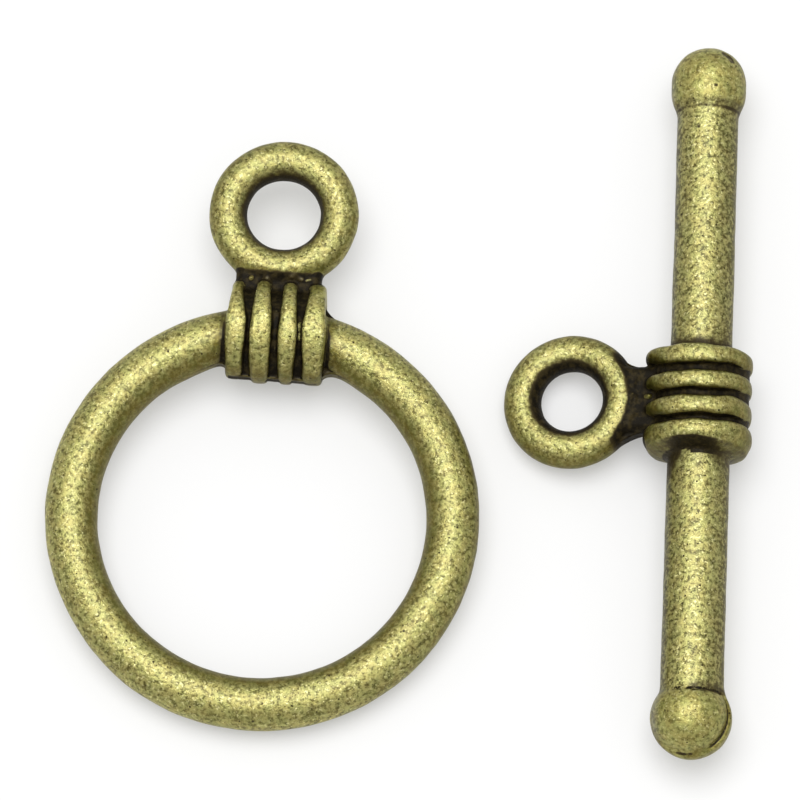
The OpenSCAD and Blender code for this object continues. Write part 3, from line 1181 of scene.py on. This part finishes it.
def bronze():
    material = bpy.data.materials.new("antique_bronze_rubbed")
    n = Nodes(material)
    where = n.add("TexCoord", out="Object")
    grain = n.noise(where, GRAINS_PER_MM, 4.0, 0.68)
    blotch = n.noise(where, BLOTCHES_PER_MM, 3.0, 0.55)
    speckle = n.noise(where, SPECKLES_PER_MM, 3.0, 0.6)
    smooth = n.attribute("smooth")
    rough = n.ramp(smooth, 0, 1, 1.0, 0.7)
    # Wear, with painted light and shade on the ring's sides and the bar's right, turns the metal yellow
    exposed = n.math("SUBTRACT", n.attribute("wear_and_light"), n.attribute("recess"))
    worn_and_lit = n.ramp(n.math("ADD", exposed, n.centred(blotch, 0.42)), 0.25, 1.15)
    metal = plating(n, where, grain, worn_and_lit, rough, smooth)
    dirt_and_shade = darkening(n, where, speckle)
    # Dirt and painted shade turn the metal brown, then black
    stained_and_shaded = n.mix(n.ramp(dirt_and_shade, 0.0, 0.7), metal, BROWN_COLOUR)
    black = n.mix(n.ramp(speckle, 0.4, 0.7), GRIME_AND_SHADE_COLOUR, BLACK_BROWN_COLOUR)
    bump = n.add("Bump", {
        "Strength": 1.0,
        "Distance": GRAIN_HEIGHT_MM * MM,
        "Height": n.math("MULTIPLY", grain, rough)})
    shader = n.add("BsdfPrincipled", {
        "Base Color": n.mix(n.ramp(dirt_and_shade, 0.4, 0.95), stained_and_shaded, black),
        "Metallic": n.ramp(dirt_and_shade, 0, 1, 1.0, 0.2),
        "Roughness": n.math("ADD", n.ramp(dirt_and_shade, 0, 1, 0.42, 0.55), n.math("MULTIPLY", smooth, 0.07)),
        "Specular IOR Level": 0.15,
        "Specular Tint": GRAZING_TINT,
        "Coat Weight": n.ramp(dirt_and_shade, 0, 1, 0.4, 0.04),
        "Coat Roughness": 0.3,
        "Coat IOR": 1.5,
        "Normal": bump})
    n.add("OutputMaterial", {"Surface": shader})
    return material


FLOOR_COLOUR = (0.49, 0.49, 0.49, 1)
WHITE = (1, 1, 1, 1)
FLOOR_GLOW = 0.34


def floor_material():
    """A pale floor that glows a little, so that shadows on it stay as light as in a white tent."""
    material = bpy.data.materials.new("pale_floor")
    n = Nodes(material)
    shader = n.add("BsdfPrincipled", {
        "Base Color": FLOOR_COLOUR,
        "Roughness": 0.75,
        "Emission Color": WHITE,
        "Emission Strength": FLOOR_GLOW})
    n.add("OutputMaterial", {"Surface": shader})
    return material


# Scene, in metres

CAMERA_AZIMUTH = radians(2.27)
CAMERA_ELEVATION = radians(72.5)
CAMERA_DISTANCE = 271 * MM
CAMERA_TARGET = Vector((-0.1077, -0.1906, 1.0)) * MM
SENSOR_MM = 36.0
FOCAL_PX = 7286
PHOTO_PX = 800
FLOOR_HALF = 1.5
HORIZON_LIGHT = 0.54
ZENITH_LIGHT = 0.76
OVERHEAD_PLACE = (-0.03, 0.05, 0.5)
OVERHEAD_SIZE = 0.42
OVERHEAD_POWER = 2.0


def camera():
    data = bpy.data.cameras.new("camera")
    data.sensor_width = SENSOR_MM
    data.lens = FOCAL_PX / PHOTO_PX * SENSOR_MM
    data.clip_start = 0.01
    holder = bpy.data.objects.new("camera", data)
    back = Vector((0, -cos(CAMERA_ELEVATION), sin(CAMERA_ELEVATION)))
    back = Matrix.Rotation(CAMERA_AZIMUTH, 3, "Z") @ back
    holder.location = CAMERA_TARGET + CAMERA_DISTANCE * back
    holder.rotation_mode = "QUATERNION"
    holder.rotation_quaternion = (-back).to_track_quat("-Z", "Y")
    bpy.context.scene.collection.objects.link(holder)
    bpy.context.scene.camera = holder


def area_light(name, location, size, power):
    """A round light that faces the middle of the part."""
    data = bpy.data.lights.new(name, "AREA")
    data.shape = "DISK"
    data.size = size
    data.energy = power
    holder = bpy.data.objects.new(name, data)
    holder.location = location
    holder.rotation_mode = "QUATERNION"
    holder.rotation_quaternion = Vector(location).to_track_quat("Z", "Y")
    bpy.context.scene.collection.objects.link(holder)


def floor():
    corners = [(x * FLOOR_HALF, y * FLOOR_HALF, 0) for x, y in ((-1, -1), (1, -1), (1, 1), (-1, 1))]
    mesh = bpy.data.meshes.new("floor")
    mesh.from_pydata(corners, [], [(0, 1, 2, 3)])
    mesh.materials.append(floor_material())
    holder = bpy.data.objects.new("floor", mesh)
    bpy.context.scene.collection.objects.link(holder)


def studio():
    """A soft white tent, brighter overhead, and one large soft light above the part."""
    world = bpy.data.worlds.new("studio")
    n = Nodes(world)
    height = n.add("SeparateXYZ", {"Vector": n.add("TexCoord", out="Generated")}, out="Z")
    strength = n.ramp(height, 0.1, 0.85, HORIZON_LIGHT, ZENITH_LIGHT)
    sky = n.add("Background", {"Color": WHITE, "Strength": strength})
    n.add("OutputWorld", {"Surface": sky})
    bpy.context.scene.world = world
    area_light("overhead", OVERHEAD_PLACE, OVERHEAD_SIZE, OVERHEAD_POWER)
    bpy.context.scene.view_settings.view_transform = "Standard"


# Each half's grid along X, Y and Z: where it starts and ends, and its fine spans
RING_GRID = (
    (-8.4, 8.4, (-2.3, 2.3)),
    (-8.4, 14.8, (5.1, 9.9)),
    (-2.2, 2.2, (-0.92, 0.92)))
BAR_GRID = (
    (-7.9, 2.4, (-3.2, 2.2)),
    (-14.2, 14.2, (-13.9, -11.2), (-2.7, 2.3), (10.5, 13.8)),
    (-2.3, 2.3, (-1.0, 1.0)))

camera()
studio()
floor()
finish = bronze()
ring_casting = casting("ring_casting", "toggle_ring", ring_half, RING_GRID, ring_place(), ring_tarnish_and_light)
bar_casting = casting("bar_casting", "toggle_bar", bar_half, BAR_GRID, bar_place(), bar_tarnish_and_light)
for piece in (ring_casting, bar_casting):
    piece.data.materials.append(finish)
